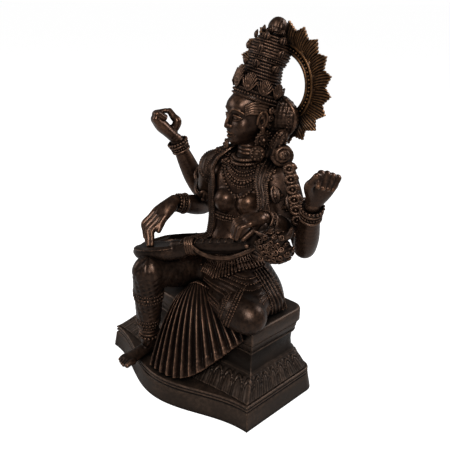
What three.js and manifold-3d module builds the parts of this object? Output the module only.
// A cast figure of a seated four-armed goddess who plays a long lute across her lap.
// She sits on a moulded pedestal with a bowed front, and a ring of leaves stands behind her crown.
// Millimetres, +Z up. She faces -Y, and her left side is +X.
// The origin lies in the underside of the pedestal, in the middle of its slab.

import * as THREE from 'three';
import { mergeVertices } from 'three/addons/utils/BufferGeometryUtils.js';
import Module from 'manifold-3d';

const wasm = await Module();
wasm.setup();

// Driving dimensions of the pedestal
const slabWidth = 250;
const slabDepth = 124; // from the front corners to the back edge
const slabHeight = 31;
const slabBatter = 3; // how far the slab's wall leans in
const bowDepth = 33; // how far the bowed front stands out past the front corners
const backCornerRadius = 14;
const slopeHeight = 19; // the lotus slope between slab and dado
const slopeSetBack = 3; // from the slab's rim to the foot of the lotus slope
const petalPitch = 16.5;
const petalSwell = 2.6; // how far a petal stands up from the slope
const dadoWidth = 200;
const dadoDepth = 82;
const dadoHeight = 29;
const dadoSetBack = 10; // from the slab's back edge to the dado's
const dadoBow = 8;
const seatMouldingHeight = 16; // the stepped moulding under the seat
const seatThickness = 13;
const seatOverhang = 6; // how far the seat stands out past the dado
const castingGap = 0.3; // between two castings that touch
const seamSlack = 0.12; // how far a seam's corner may move when its slivers go

// Driving dimensions of the figure
const figureHeight = 325; // from the seat to the top of the crown
const pleatCount = 13; // pleats in the fan of cloth over the front of the seat
const pleatDepth = 2.8;

// Driving dimensions of the ring of leaves
const ringBoreRadius = 35;
const ringBandWidth = 12;
const ringThickness = 6;
const leafCount = 20;
const leafLength = 22.5;

// Places that follow from the sizes above
const frontCornerY = -(slabDepth - bowDepth) / 2;
const slabBackY = frontCornerY + slabDepth;
const dadoFrontY = slabBackY - dadoDepth - dadoSetBack;
const slopeTopZ = slabHeight + slopeHeight;
const dadoTopZ = slopeTopZ + dadoHeight;
const seatZ = dadoTopZ + seatMouldingHeight + seatThickness;
const seatMidY = dadoFrontY + dadoDepth / 2;
const seatFrontY = dadoFrontY - seatOverhang;

// The pose is written in millimetres for a figure of this height, from the middle of the seat
const drawnHeight = 325;
const k = figureHeight / drawnHeight;

function vec(x, y, z) {
  return new THREE.Vector3(x, y, z);
}

function at(x, y, z) {
  return vec(x * k, seatMidY + y * k, seatZ + z * k);
}

const pose = {
  neckTop: at(21, 33, 188),
  head: at(20, 34, 219),
  crownTop: at(36, 64.5, 325),
  rightShoulder: at(-28, 21, 153),
  leftShoulder: at(66, 45, 153),
  leftFrontShoulder: at(57, 36, 150),
  rightBackElbow: at(-78, 46, 103),
  rightBackWrist: at(-86, 21, 166),
  rightFrontShoulder: at(-25, 16, 147),
  rightFrontElbow: at(-54, 31, 90),
  rightFrontWrist: at(-42, -32, 113),
  leftBackElbow: at(105, 40, 76),
  leftBackWrist: at(133, 6, 138),
  leftFrontElbow: at(82, 29, 96),
  leftFrontWrist: at(85, -14, 122),
  rightHip: at(-22, 16, 22),
  rightKnee: at(-27, -84, 50),
  leftHip: at(34, 19, 20),
  leftKnee: at(96, -42, 13),
  leftAnkle: at(30, -36, 8),
  luteFoot: at(-56, -78, 60),
  luteHead: at(122, -12, 101),
  fanTopRight: at(-13, -33.5, 13),
  fanTop: at(4, -33.5, 24),
  fanTopLeft: at(22, -31.5, 22),
};
// The right foot stands on the slab, so its height follows the slab and not the seat
pose.rightAnkle = vec(-40 * k, frontCornerY - 5, slabHeight + 17 * k);
pose.rightHeel = vec(-43 * k, frontCornerY + 1, slabHeight + 7 * k);
pose.rightToes = vec(-41 * k, frontCornerY - 53 * k, slabHeight + 2 * k);

const chestTurn = THREE.MathUtils.degToRad(18);
const headTurn = THREE.MathUtils.degToRad(-18);

// Turn a closed geometry into a solid, with its faces pointing out
function solid(geometry) {
  geometry.deleteAttribute('normal');
  geometry.deleteAttribute('uv');
  const merged = mergeVertices(geometry, 1e-4);
  const p = merged.attributes.position;
  const index = merged.index.array;
  const kept = [];
  let volume = 0;
  const a = vec(0, 0, 0);
  const b = vec(0, 0, 0);
  const c = vec(0, 0, 0);
  for (let i = 0; i < index.length; i += 3) {
    const [ia, ib, ic] = [index[i], index[i + 1], index[i + 2]];
    if (ia === ib || ib === ic || ic === ia) continue;
    kept.push(ia, ib, ic);
    b.fromBufferAttribute(p, ib).cross(c.fromBufferAttribute(p, ic));
    volume += a.fromBufferAttribute(p, ia).dot(b);
  }
  if (volume < 0) kept.reverse();
  return new wasm.Manifold(new wasm.Mesh({
    numProp: 3,
    vertProperties: new Float32Array(p.array),
    triVerts: Uint32Array.from(kept),
  }));
}

function joined(solids) {
  return solids.reduce((sum, next) => sum.add(next));
}

// Joins leave slivers along their seams. A corner is folded into a neighbour where the neighbour lies
// within "slack" of every face round the corner, so the skin stays closed and keeps its form.
function withoutSlivers(body, slack) {
  const { vertProperties, triVerts } = body.getMesh();
  const corners = [];
  for (let i = 0; i < vertProperties.length; i += 3) corners.push(vec(...vertProperties.slice(i, i + 3)));
  const faces = [];
  const facesAt = corners.map(() => new Set());
  for (let i = 0; i < triVerts.length; i += 3) {
    const face = [...triVerts.slice(i, i + 3)];
    faces.push(face);
    for (const c of face) facesAt[c].add(face);
  }
  const normalOf = ([a, b, c]) => corners[b].clone().sub(corners[a])
    .cross(corners[c].clone().sub(corners[a]));
  const neighboursOf = (c) => new Set([...facesAt[c]].flat().filter((other) => other !== c));
  const strain = corners.map(() => 0);
  const smallestArea = 1e-3;
  const sharpestTurn = 0.3; // cosine of the most that a face may turn
  const keepsForm = (from, to) => [...facesAt[from]].every((face) => {
    if (face.includes(to)) return true;
    const before = normalOf(face);
    const after = normalOf(face.map((c) => (c === from ? to : c)));
    if (after.length() < smallestArea) return false;
    return before.length() < smallestArea
      || before.dot(after) > sharpestTurn * before.length() * after.length();
  });
  const costOf = (from, to) => {
    const step = corners[to].clone().sub(corners[from]);
    let cost = 0;
    for (const face of facesAt[from]) {
      const normal = normalOf(face);
      if (normal.length() > smallestArea) cost = Math.max(cost, Math.abs(normal.normalize().dot(step)));
    }
    return cost;
  };
  const fold = (from, to) => {
    for (const face of facesAt[from]) {
      if (face.includes(to)) {
        for (const c of face) if (c !== from) facesAt[c].delete(face);
        face.length = 0;
      } else {
        face[face.indexOf(from)] = to;
        facesAt[to].add(face);
      }
    }
    facesAt[from].clear();
  };
  let folded = true;
  while (folded) {
    folded = false;
    for (let from = 0; from < corners.length; from += 1) {
      if (facesAt[from].size === 0) continue;
      const near = neighboursOf(from);
      let best = null;
      for (const to of near) {
        const cost = costOf(from, to);
        if (strain[from] + cost > slack || (best && cost >= best.cost)) continue;
        const shared = [...neighboursOf(to)].filter((c) => near.has(c)).length;
        if (shared === 2 && keepsForm(from, to)) best = { to, cost };
      }
      if (!best) continue;
      strain[best.to] = Math.max(strain[best.to], strain[from] + best.cost);
      fold(from, best.to);
      folded = true;
    }
  }
  return new wasm.Manifold(new wasm.Mesh({
    numProp: 3,
    vertProperties,
    triVerts: Uint32Array.from(faces.flat()),
  }));
}

// A closed skin over rings of points that all hold the same number of points.
// A looped skin joins its last ring to its first and has no end caps.
function skin(rings, looped = false) {
  const count = rings[0].length;
  const positions = [];
  const index = [];
  const middle = (ring) => ring.reduce((s, q) => s.add(q), vec(0, 0, 0)).divideScalar(count);
  for (const ring of rings) for (const q of ring) positions.push(q.x, q.y, q.z);
  if (!looped) for (const q of [middle(rings[0]), middle(rings.at(-1))]) positions.push(q.x, q.y, q.z);
  const first = rings.length * count;
  const last = (rings.length - 1) * count;
  for (let j = 0; j < count; j += 1) {
    const next = (j + 1) % count;
    for (let low = 0; low < (looped ? first : last); low += count) {
      const high = (low + count) % first;
      index.push(low + j, low + next, high + next, low + j, high + next, high + j);
    }
    if (!looped) index.push(first, next, j, first + 1, last + j, last + next);
  }
  const geometry = new THREE.BufferGeometry();
  geometry.setAttribute('position', new THREE.Float32BufferAttribute(positions, 3));
  geometry.setIndex(index);
  return solid(geometry);
}

// A limb through stations [point, half width, half depth], with blunt ends.
// The half width is measured along "side"; relief(i, angle) adds to both at station i.
function limb(stations, { sides = 8, side = vec(1, 0, 0), relief = () => 0, blunt = true } = {}) {
  const points = stations.map((s) => s[0]);
  const last = points.length - 1;
  const rings = [];
  let u = side.clone();
  stations.forEach(([centre, wide, deep = wide], i) => {
    const w = points[Math.min(i + 1, last)].clone().sub(points[Math.max(i - 1, 0)]).normalize();
    u = u.clone().addScaledVector(w, -u.dot(w)).normalize();
    const v = w.clone().cross(u);
    const ring = (shift, share) => Array.from({ length: sides }, (_, j) => {
      const angle = (2 * Math.PI * (j + 0.5)) / sides;
      const grow = relief(i, angle);
      return centre.clone()
        .addScaledVector(w, shift * k)
        .addScaledVector(u, (wide + grow) * k * share * Math.cos(angle))
        .addScaledVector(v, (deep + grow) * k * share * Math.sin(angle));
    });
    const reach = Math.min(wide, deep) * 0.7;
    if (i === 0 && blunt) rings.push(ring(-reach, 0.6));
    rings.push(ring(0, 1));
    if (i === last && blunt) rings.push(ring(reach, 0.6));
  });
  return skin(rings);
}

// An egg-shaped solid with its poles up and down, turned about Z
function egg(centre, rx, ry, rz, { turn = 0, sides = 8, rows = 5 } = {}) {
  const geometry = new THREE.SphereGeometry(1, sides, rows).rotateX(Math.PI / 2);
  geometry.scale(rx * k, ry * k, rz * k).rotateZ(turn);
  return solid(geometry.translate(centre.x, centre.y, centre.z));
}

// Turned work: a profile of [radius, height] about an axis through foot
function turned(profile, foot, axis, sides = 12) {
  const points = profile.map(([r, z]) => new THREE.Vector2(r * k, z * k));
  const geometry = new THREE.LatheGeometry(points, sides);
  const tilt = new THREE.Quaternion().setFromUnitVectors(vec(0, 1, 0), axis.clone().normalize());
  return solid(geometry.applyQuaternion(tilt).translate(foot.x, foot.y, foot.z));
}

function between(a, b, share) {
  return a.clone().lerp(b, share);
}

// The pedestal's plan: a bowed front with pointed corners, straight sides and round back corners
function plan(halfWidth, frontY, backY, bow, z) {
  const frontPoints = 12;
  const cornerPoints = 3;
  const radius = backCornerRadius;
  const outline = [];
  for (let i = 0; i <= frontPoints; i += 1) {
    const x = -halfWidth + (2 * halfWidth * i) / frontPoints;
    const swell = Math.cos((Math.PI * x) / (2 * halfWidth)) ** 2;
    outline.push(vec(x, frontY - bow * swell, z));
  }
  for (const s of [1, -1]) {
    for (let i = 0; i <= cornerPoints; i += 1) {
      const angle = (Math.PI / 2) * (s > 0 ? i / cornerPoints : 1 - i / cornerPoints);
      const x = s * (halfWidth - radius + radius * Math.cos(angle));
      outline.push(vec(x, backY - radius + radius * Math.sin(angle), z));
    }
  }
  return outline;
}

const footBow = bowDepth * 0.35;
const petalInset = slabBatter + slopeSetBack;

function slabRing(z, inset, bow = bowDepth) {
  return plan(slabWidth / 2 - inset, frontCornerY + inset, slabBackY - inset, bow, z);
}

function dadoRing(z, out) {
  return plan(dadoWidth / 2 + out, dadoFrontY - out, dadoFrontY + dadoDepth + out, dadoBow, z);
}

// A ring on the hollow slope, from its foot on the slab (0) to the dado (1)
function slopeRing(share, grow = 0) {
  const foot = slabRing(0, petalInset - grow, footBow);
  const head = dadoRing(0, 2 + grow);
  const z = slabHeight + slopeHeight * share ** 1.25 + grow;
  return foot.map((q, i) => q.lerp(head[i], share).setZ(z));
}

// The pedestal, from the underside up; grow adds a skin of clearance all round
function pedestalBlock(grow) {
  const rimStart = slabHeight * 0.74; // the plain wall ends here and two thin rolls begin
  const rimStep = (slabHeight - rimStart) / 4;
  const slab = skin([
    slabRing(-grow, -grow),
    slabRing(rimStart, slabBatter - grow),
    slabRing(rimStart + rimStep, slabBatter + 1.6 - grow),
    slabRing(rimStart + 2 * rimStep, slabBatter - 0.2 - grow),
    slabRing(rimStart + 3 * rimStep, slabBatter + 1.6 - grow),
    slabRing(slabHeight + grow, slabBatter - 0.2 - grow),
  ]);
  const foot = slopeRing(0, grow).map((q) => q.setZ(slabHeight - 1));
  const step = seatMouldingHeight / 4;
  const block = skin([
    foot,
    ...[0.15, 0.5, 0.8, 1].map((share) => slopeRing(share, grow)),
    dadoRing(slopeTopZ + 3, grow),
    dadoRing(dadoTopZ - 3, grow),
    dadoRing(dadoTopZ - grow, 2.5 + grow),
    dadoRing(dadoTopZ + step - grow, 2.5 + grow),
    dadoRing(dadoTopZ + 1.2 * step - grow, seatOverhang * 0.5 + grow),
    dadoRing(dadoTopZ + 2.7 * step - grow, seatOverhang * 0.7 + grow),
    dadoRing(dadoTopZ + 2.9 * step - grow, seatOverhang + grow),
    dadoRing(seatZ - 2, seatOverhang + grow),
    dadoRing(seatZ + grow, seatOverhang - 2),
  ]);
  return slab.add(block);
}

// Lotus petals that lie on the slope all round; grow adds a skin of clearance
function lotusPetals(grow) {
  const [low, middle, high] = [0.04, 0.4, 0.86].map((share) => slopeRing(share));
  const edges = low.map((q, i) => low[(i + 1) % low.length].clone().sub(q));
  const around = edges.reduce((sum, edge) => sum + edge.length(), 0);
  const count = Math.round(around / petalPitch);
  const petals = [];
  let edge = 0;
  let passed = 0;
  for (let i = 0; i < count; i += 1) {
    const distance = (around * (i + 0.5)) / count;
    while (passed + edges[edge].length() < distance) {
      passed += edges[edge].length();
      edge += 1;
    }
    const share = (distance - passed) / edges[edge].length();
    const on = (ring) => ring[edge].clone().lerp(ring[(edge + 1) % ring.length], share);
    const rise = on(high).sub(on(low)).multiplyScalar(0.5);
    const side = edges[edge].clone().setLength(petalPitch * 0.48 + grow);
    const out = side.clone().cross(rise).setLength(petalSwell + grow);
    const basis = new THREE.Matrix4().makeBasis(side, out, rise.setLength(rise.length() + grow));
    petals.push(solid(new THREE.OctahedronGeometry(1).applyMatrix4(basis.setPosition(on(middle)))));
  }
  return petals;
}

// The fan of pleated cloth that spills from the lap over the front of the seat to the slab
function pleatedFan() {
  const hem = new THREE.CatmullRomCurve3([
    vec(-15 * k, frontCornerY - 21.5, slabHeight + 2),
    vec(7 * k, frontCornerY - 23, slabHeight + 2),
    vec(28 * k, frontCornerY - 17, slabHeight + 2),
    vec(48 * k, frontCornerY - 8, slabHeight + 12),
    vec(67 * k, frontCornerY + 6, slabHeight + 32),
    vec(83 * k, seatFrontY - 8, seatZ - 26),
    vec(98 * k, seatFrontY - 4, seatZ - 9),
  ]);
  const brow = new THREE.CatmullRomCurve3([
    vec(-16 * k, seatFrontY - 18.5, seatZ + 4),
    vec(-6 * k, seatFrontY - 19.5, seatZ + 10),
    vec(8 * k, seatFrontY - 17.5, seatZ + 12),
    vec(26 * k, seatFrontY - 15, seatZ + 10),
    vec(46 * k, seatFrontY - 12.5, seatZ + 6),
    vec(70 * k, seatFrontY - 8.5, seatZ + 2),
    vec(95 * k, seatFrontY - 2.5, seatZ + 2),
  ]);
  const top = new THREE.CatmullRomCurve3([pose.fanTopRight, pose.fanTop, pose.fanTopLeft]);
  const out = vec(0.35, -0.8, 0.45).normalize();
  const columns = pleatCount * 2;
  const rows = [0, 0.25, 0.5, 0.75, 1];
  const rings = Array.from({ length: columns + 1 }, (_, i) => {
    const u = i / columns;
    const line = new THREE.QuadraticBezierCurve3(top.getPoint(u), brow.getPoint(u), hem.getPoint(u));
    const fold = pleatDepth * (i % 2 ? -1 : 1);
    return [
      ...rows.map((v) => line.getPoint(v).addScaledVector(out, 1.5 + fold * Math.min(1, 0.3 + v))),
      ...[1, 0.3].map((v) => line.getPoint(v).addScaledVector(out, -6)),
    ];
  });
  return skin(rings);
}

// The body from the seat to the neck, as level ovals that turn from the hips to the chest
function trunk() {
  const sides = 12;
  const level = (x, y, z, wide, deep, turn) => {
    return Array.from({ length: sides }, (_, j) => {
      const angle = (2 * Math.PI * (j + 0.5)) / sides;
      const flat = vec(wide * Math.cos(angle), deep * Math.sin(angle), 0);
      flat.applyAxisAngle(vec(0, 0, 1), THREE.MathUtils.degToRad(turn));
      return at(x + flat.x, y + flat.y, z);
    });
  };
  return skin([
    level(16, 8, 0.3, 73, 41, 8),
    level(16, 10, 10, 72, 39, 8),
    level(13, 15, 26, 63, 38, 8),
    level(9, 19, 44, 49, 34, 8),
    level(3, 21, 48, 44, 35, 8),
    level(3, 21, 54, 40, 32, 8),
    level(3, 21, 57, 42, 33, 8),
    level(3, 21, 63, 32, 25, 8),
    level(4, 21, 82, 26, 19, 12),
    level(11, 24, 100, 30, 20, 16),
    level(17, 28, 122, 38, 22, 20),
    level(19, 31, 142, 42, 21, 20),
    level(20, 33, 156, 38, 18, 18),
    level(20, 34, 161, 31, 20, 16),
    level(20, 34, 166, 29, 19, 14),
    level(20, 34, 169, 19, 16, 10),
    level(20, 34, 174, 19, 16, 10),
    level(20, 34, 177, 12.5, 12, 0),
    level(21, 34, 192, 12, 12, 0),
  ]);
}

// The level directions to the front and to the left of a part that is turned about Z
function heading(turn) {
  return { front: vec(Math.sin(turn), -Math.cos(turn), 0), left: vec(Math.cos(turn), Math.sin(turn), 0) };
}

// One arm from shoulder to wrist, with an armlet and two bangles in its outline
function arm(shoulder, elbow, wrist, girth = 1) {
  const upper = (share, radius) => [between(shoulder, elbow, share), radius * girth];
  const lower = (share, radius) => [between(elbow, wrist, share), radius];
  return limb([
    upper(0, 13.5), upper(0.4, 12), upper(0.44, 14.5), upper(0.54, 14.5), upper(0.58, 12), upper(0.96, 11.5),
    lower(0.12, 13), lower(0.45, 12.4), lower(0.68, 10.4), lower(0.73, 13.2), lower(0.8, 10), lower(0.87, 13),
    lower(0.94, 8.8), lower(1, 8),
  ], { sides: 7 });
}

// A hand: the palm, four fingers that bend once, and a thumb.
// Each finger runs knuckle, joint, tip; "spread" points from the first finger to the last.
function hand(wrist, knuckle, joint, tip, spread, thumb, girth = 1) {
  const along = knuckle.clone().sub(wrist).normalize();
  const across = spread.clone().addScaledVector(along, -spread.dot(along)).normalize();
  const parts = [limb([
    [wrist, 7.5, 7], [between(wrist, knuckle, 0.5), 10.5 * girth, 7.5], [knuckle, 11 * girth, 5 * girth],
  ], { side: across, sides: 6, blunt: false })];
  for (let i = 0; i < 4; i += 1) {
    const shift = (i - 1.5) * 5.2 * girth * k;
    const reach = 1 - 0.07 * Math.abs(i - 1);
    parts.push(limb([
      [between(wrist, knuckle, 0.9).addScaledVector(across, shift), 3.5 * girth],
      [between(knuckle, joint, reach).addScaledVector(across, shift), 3.5 * girth],
      [between(knuckle, tip, reach).addScaledVector(across, shift * 0.85), 2.6 * girth],
    ], { side: across, sides: 5, blunt: false }));
  }
  const root = between(wrist, knuckle, 0.3).addScaledVector(across, -5 * k);
  parts.push(limb([[root, 5.5], [thumb[0], 4.4 * girth], [thumb[1], 3.2 * girth]], { sides: 5, blunt: false }));
  return parts;
}

// The long lute: a boat-shaped body, a fretted neck, a bulb under it and a beast's head
function lute() {
  const along = (share) => between(pose.luteFoot, pose.luteHead, share);
  const axis = pose.luteHead.clone().sub(pose.luteFoot).normalize();
  const up = vec(0, 0, 1).addScaledVector(axis, -axis.z).normalize();
  const flat = axis.clone().cross(up);
  const place = (share, side, lift) => along(share)
    .addScaledVector(flat, side * k).addScaledVector(up, lift * k);
  const fretCount = 6;
  const frets = Array.from({ length: fretCount }, (_, i) => 0.36 + (0.44 * i) / (fretCount - 1));
  const neck = frets.flatMap((share) => [[place(share - 0.02, 0, 3), 6, 9], [place(share, 0, 4), 7, 10.5]]);
  return [
    limb([
      [along(0), 5, 4], [along(0.05), 12, 8], [along(0.13), 15, 10], [along(0.22), 13.5, 9],
      [place(0.29, 0, 2), 9, 9], ...neck, [along(0.84), 8, 8],
    ], { side: flat, sides: 8 }),
    egg(place(0.93, 0, -7), 17, 13, 11),
    limb([[along(0.8), 9, 9], [place(0.88, 0, 3), 13, 13], [place(0.95, 0, 4), 9, 10]], { side: flat }),
    limb([[place(0.93, 0, 8), 7, 5], [place(1.01, 0, 11), 6, 4], [place(1.04, 0, 19), 3, 2]],
      { side: flat, sides: 6, blunt: false }),
    limb([[place(0.93, 0, -3), 7, 4], [place(1.02, 0, -3), 5, 3]], { side: flat, sides: 6, blunt: false }),
    limb([[place(0.88, -8, 9), 5, 4], [place(0.84, -13, 21), 2.5, 1.5]], { sides: 5, blunt: false }),
    limb([[place(0.88, 8, 9), 5, 4], [place(0.84, 13, 21), 2.5, 1.5]], { sides: 5, blunt: false }),
  ];
}

// The head, as level ovals from chin to crown. Each level is [height, half width, front, back].
function headAndFace() {
  const { left } = heading(headTurn);
  const place = (x, y, z) => pose.head.clone()
    .add(vec(x * k, y * k, z * k).applyAxisAngle(vec(0, 0, 1), headTurn));
  const sides = 12;
  const level = ([z, wide, front, back]) => Array.from({ length: sides }, (_, j) => {
    const angle = (2 * Math.PI * j) / sides;
    const y = (front + back) / 2 + ((back - front) / 2) * Math.sin(angle);
    return place(wide * Math.cos(angle), y, z);
  });
  const levels = [
    [-34, 7, -24, -6], [-31, 12, -28, 2], [-24, 17, -27, 10], [-18, 20, -28.5, 16], [-10, 23, -27, 20],
    [0, 24.5, -25, 24], [5, 24.5, -25.5, 25], [10, 25, -27.5, 26], [22, 25.5, -26, 26], [33, 22, -20, 22],
  ];
  const parts = [
    skin(levels.map(level)),
    limb([[place(0, -25, 10), 2, 2], [place(0, -29, -2), 3, 3], [place(0, -29.5, -9), 5, 4]],
      { side: left, sides: 5, blunt: false }),
    limb([[place(-8, -25, -17), 1.5], [place(0, -28, -18.5), 3], [place(8, -25, -17), 1.5]],
      { sides: 5, blunt: false }),
  ];
  for (const s of [1, -1]) {
    parts.push(limb([[place(s * 4, -24, 3), 1.2], [place(s * 10, -24.5, 3), 3.4], [place(s * 17, -19, 3), 1.2]],
      { sides: 5, blunt: false }));
    parts.push(egg(place(s * 25, 2, -5), 3.5, 6, 11, { turn: headTurn, sides: 6, rows: 4 }));
    parts.push(turned([[0, -2.5], [8, -2.5], [9.5, 0], [8, 2.5], [3, 1.5], [0, 4]], place(s * 26, 0, -21),
      left.clone().multiplyScalar(s), 8));
  }
  return parts;
}

// The tall crown: a jewelled band, a bell, swelling rings and a knop, with leaves set round the band
function crown() {
  const foot = between(pose.head, pose.crownTop, 0.2);
  const axis = pose.crownTop.clone().sub(foot);
  const tall = axis.length() / k;
  const parts = [turned([
    [0, -6], [27, -6], [28.5, -2], [28.5, 2], [26, 4], [24, 15], [22.5, 24], [20, 32], [20, 38], [22.5, 41],
    [23.5, 45], [23.5, 54], [20, 56], [20, 59], [17, 61], [17, 64], [14.5, 66], [11.5, 69], [10.5, 72], [11.8, 77],
    [9, 83], [0, tall],
  ], foot, axis, 11)];
  const leavesOnBand = 7;
  const tilt = new THREE.Quaternion().setFromUnitVectors(vec(0, 0, 1), axis.clone().normalize());
  for (let i = 0; i < leavesOnBand; i += 1) {
    const turn = headTurn - Math.PI / 2 + ((i - 3) * 2 * Math.PI) / 9;
    const tallLeaf = 12 + 10 * Math.max(0, 1 - Math.abs(i - 3) / 2);
    const geometry = new THREE.OctahedronGeometry(1);
    geometry.scale(4.5, 10, tallLeaf).translate(25.5, 0, 2 + tallLeaf * 0.6).scale(k, k, k).rotateZ(turn);
    geometry.applyQuaternion(tilt);
    parts.push(solid(geometry.translate(foot.x, foot.y, foot.z)));
  }
  return parts;
}

// Hair behind the head: a wide bun that carries the ring, and two coiled ends at the nape
function hair() {
  const { front } = heading(headTurn);
  const bun = pose.head.clone().addScaledVector(front, -26 * k).add(vec(8 * k, 0, -2 * k));
  const coil = at(67, 40, 179);
  const farCoil = at(0, 44, 178);
  return [
    egg(bun, 35, 16, 26, { sides: 12, rows: 7 }),
    turned([[0, -9], [11, -9], [14, -5], [14, 2], [11.5, 4.5], [9, 2], [6.5, 4.5], [3.5, 2.5], [0, 6]],
      coil, vec(0.75, -0.6, 0.15), 10),
    egg(farCoil, 11, 9, 12, { sides: 6, rows: 4 }),
    limb([[farCoil, 8], [at(33, 56, 182), 11], [coil, 8]], { sides: 6, blunt: false }),
  ];
}

// The folded scarf: over both shoulders, down her right side to the lap, and from her left shoulder
// to the lute. A last fold lies on her right thigh behind the lute, and the knot is behind her neck.
function scarf() {
  const folds = (i, angle) => 1.1 * Math.cos(3 * angle + i);
  return [
    limb([
      [at(46, 46, 170), 7, 6], [at(20, 48, 182), 9, 9], [at(-6, 37, 178), 9, 9], [at(-29, 21, 165), 9, 6],
      [at(-32, 4, 142), 9, 5], [at(-17, -1, 108), 10, 5], [at(-12, -1, 84), 9, 5], [at(-11, -6, 58), 9, 5],
    ], { side: vec(0.5, -0.8, 0.4), sides: 6, relief: folds }),
    limb([
      [at(46, 46, 170), 7, 5], [at(52, 26, 162), 8, 5], [at(57, 8, 138), 9, 5], [at(68, -8, 118), 8, 5],
      [at(84, -22, 106), 7, 5],
    ], { side: vec(0.9, 0.4, 0), sides: 6, relief: folds }),
    limb([
      [at(-10, -2, 74), 12, 11], [at(-29, -20, 65), 11, 11], [at(-45, -44, 60), 11, 10],
      [at(-55, -66, 57), 9, 8],
    ], { side: vec(0.8, -0.5, 0), relief: folds }),
    egg(at(-3, 31, 167), 18, 12, 12, { sides: 8, rows: 5 }),
  ];
}

// Legs under the cloth: the right one hangs to the slab and the left one lies folded on the seat
function legs() {
  const wrap = (i) => (i % 2 ? 0.9 : -0.6);
  const thigh = (share, radius) => [between(pose.rightHip, pose.rightKnee, share), radius];
  const shin = (share, radius) => [between(pose.rightKnee, pose.rightAnkle, share), radius];
  const sole = (share, wide, deep) => [between(pose.rightHeel, pose.rightToes, share), wide, deep];
  const lower = (share, wide, deep) => [between(pose.leftKnee, pose.leftAnkle, share), wide, deep];
  return [
    limb([
      thigh(0, 26), thigh(0.25, 26), thigh(0.45, 24), thigh(0.65, 23), thigh(0.85, 20), shin(0, 18.5),
      shin(0.14, 17.5), shin(0.28, 16.5), shin(0.42, 15.5), shin(0.56, 14.5), shin(0.68, 13.5),
      shin(0.76, 11), shin(0.81, 13), shin(0.86, 10.5), shin(0.91, 12.5), shin(0.96, 9.5), [pose.rightHeel, 8],
    ], { sides: 9, relief: wrap }),
    limb([sole(-0.1, 7, 6), sole(0.35, 9, 7), sole(0.72, 12, 5), sole(0.78, 12, 4.4), sole(0.88, 10, 3.4)],
      { sides: 14, relief: (i, angle) => (i < 3 ? 0 : 1.3 * Math.cos(7 * angle)), blunt: false }),
    limb([
      [pose.leftHip, 27, 23], [between(pose.leftHip, pose.leftKnee, 0.3), 26, 23],
      [between(pose.leftHip, pose.leftKnee, 0.55), 24, 22], [between(pose.leftHip, pose.leftKnee, 0.8), 22, 19],
      [pose.leftKnee, 18, 15], lower(0.4, 16, 14), lower(1, 9, 8),
    ], { sides: 9, relief: wrap }),
    egg(between(pose.leftKnee, pose.leftAnkle, 0.18), 27, 17, 16, { turn: 0.15, sides: 12, rows: 7 }),
  ];
}

// Breasts and the tassels of the belt
function bodyOrnament() {
  const { front, left } = heading(chestTurn);
  const parts = [];
  for (const s of [1, -1]) {
    const centre = at(18, 29, 119).addScaledVector(front, 17 * k).addScaledVector(left, s * 14.5 * k);
    parts.push(egg(centre, 14.5, 14.5, 15, { turn: chestTurn, sides: 9, rows: 6 }));
  }
  for (let i = 0; i < 4; i += 1) {
    const q = at(-26 + 15 * i, -8, 47);
    const end = q.clone().add(vec(1 * k, -12 * k, -17 * k));
    parts.push(limb([[q, 6, 4], [end, 4.5, 3]], { sides: 4, blunt: false }));
  }
  return parts;
}

// Curled locks that fall over the left shoulder
function shoulderLocks() {
  return Array.from({ length: 4 }, (_, i) => egg(
    between(at(81, 41, 162), at(101, 34, 116), i / 3), 9, 8, 8, { sides: 5, rows: 4 },
  ));
}

function goddess() {
  const unit = (x, y, z) => vec(x, y, z).normalize();
  return joined([
    trunk(),
    ...legs(),
    pleatedFan(),
    arm(pose.rightShoulder, pose.rightBackElbow, pose.rightBackWrist),
    arm(pose.rightFrontShoulder, pose.rightFrontElbow, pose.rightFrontWrist),
    arm(pose.leftShoulder, pose.leftBackElbow, pose.leftBackWrist, 1.15),
    arm(pose.leftFrontShoulder, pose.leftFrontElbow, pose.leftFrontWrist),
    ...hand(pose.rightBackWrist, at(-106, 11, 187), at(-108, -2, 207), at(-83, -8, 217), unit(-0.5, 0.8, 0.2),
      [at(-77, 3, 193), at(-73, -5, 211)], 1.3),
    ...hand(pose.leftBackWrist, at(148, 8, 179), at(166, -1, 190), at(168, -12, 176), unit(0.5, 0.85, -0.2),
      [at(138, -3, 168), at(152, -9, 183)], 1.25),
    ...hand(pose.rightFrontWrist, at(-43, -50, 103), at(-47, -69, 87), at(-38, -76, 72), unit(-0.8, 0.25, 0.5),
      [at(-37, -50, 98), at(-34, -61, 86)]),
    ...hand(pose.leftFrontWrist, at(79, -29, 122), at(72, -38, 117), at(70, -42, 104), unit(-0.6, 0.75, 0.1),
      [at(86, -28, 112), at(82, -38, 104)]),
    ...lute(),
    ...headAndFace(),
    ...crown(),
    ...hair(),
    ...scarf(),
    ...bodyOrnament(),
    ...shoulderLocks(),
  ]);
}

// The ring of leaves stands upright behind the crown
const ringCentre = at(35, 71, 252);
const ringFrontY = ringCentre.y - ringThickness / 2;

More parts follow.
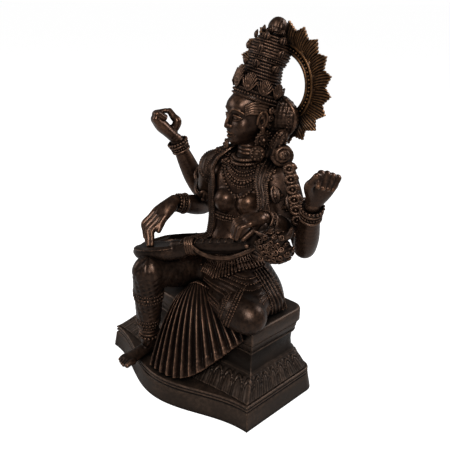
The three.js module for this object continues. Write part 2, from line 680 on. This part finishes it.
function leafRing() {
  const outer = ringBoreRadius + ringBandWidth;
  const half = ringThickness / 2;
  // Each leaf from one valley to the next: [share of the pitch, reach of the leaf, height of its rib]
  const leaf = [[0.22, 1, 0.8], [0.54, 0.92, 1], [0.88, 0.5, 0.1]];
  const rings = [];
  for (let i = 0; i < leafCount; i += 1) {
    for (const [share, reach, rib] of leaf) {
      const tip = outer + leafLength * reach;
      const section = [
        [ringBoreRadius, half], [ringBoreRadius, -half * 0.4], [ringBoreRadius + 3, -half], [outer - 2, -half],
        [outer, -half * 0.3], [(outer + tip) / 2, -half * rib], [tip, 0], [outer, half],
      ];
      const angle = (2 * Math.PI * (i + share)) / leafCount;
      rings.push(section.map(([r, y]) => vec(r * Math.cos(angle), y, r * Math.sin(angle)).add(ringCentre)));
    }
  }
  return skin(rings, true);
}

function meshOf(name, body, material) {
  const { vertProperties, triVerts } = body.getMesh();
  const geometry = new THREE.BufferGeometry();
  geometry.setAttribute('position', new THREE.BufferAttribute(vertProperties, 3));
  geometry.setIndex(new THREE.BufferAttribute(triVerts, 1));
  geometry.computeVertexNormals();
  const mesh = new THREE.Mesh(geometry, material);
  mesh.name = name;
  return mesh;
}

const darkBrass = new THREE.MeshStandardMaterial({ color: 0x3a2a20, roughness: 0.45, metalness: 0.9 });
const baseBrass = new THREE.MeshStandardMaterial({ color: 0x33291f, roughness: 0.5, metalness: 0.85 });
const ringBrass = new THREE.MeshStandardMaterial({ color: 0x4a3220, roughness: 0.42, metalness: 0.9 });

// The figure is trimmed flat where the ring stands against the hair, and where it sits on the pedestal
const behindRing = new THREE.BoxGeometry(4 * slabWidth, 2 * slabWidth, 4 * figureHeight);
behindRing.translate(0, ringFrontY - castingGap + slabWidth, seatZ);
const room = [pedestalBlock(castingGap), ...lotusPetals(2 * castingGap), solid(behindRing)];
const seated = room.reduce((body, cutter) => body.subtract(cutter), goddess());
const figure = withoutSlivers(seated, seamSlack);
const pedestal = withoutSlivers(joined([pedestalBlock(0), ...lotusPetals(0)]), seamSlack);

const model = new THREE.Group();
model.add(meshOf('pedestal', pedestal, baseBrass));
model.add(meshOf('figure', figure, darkBrass));
model.add(meshOf('leaf_ring', leafRing(), ringBrass));

export default model;
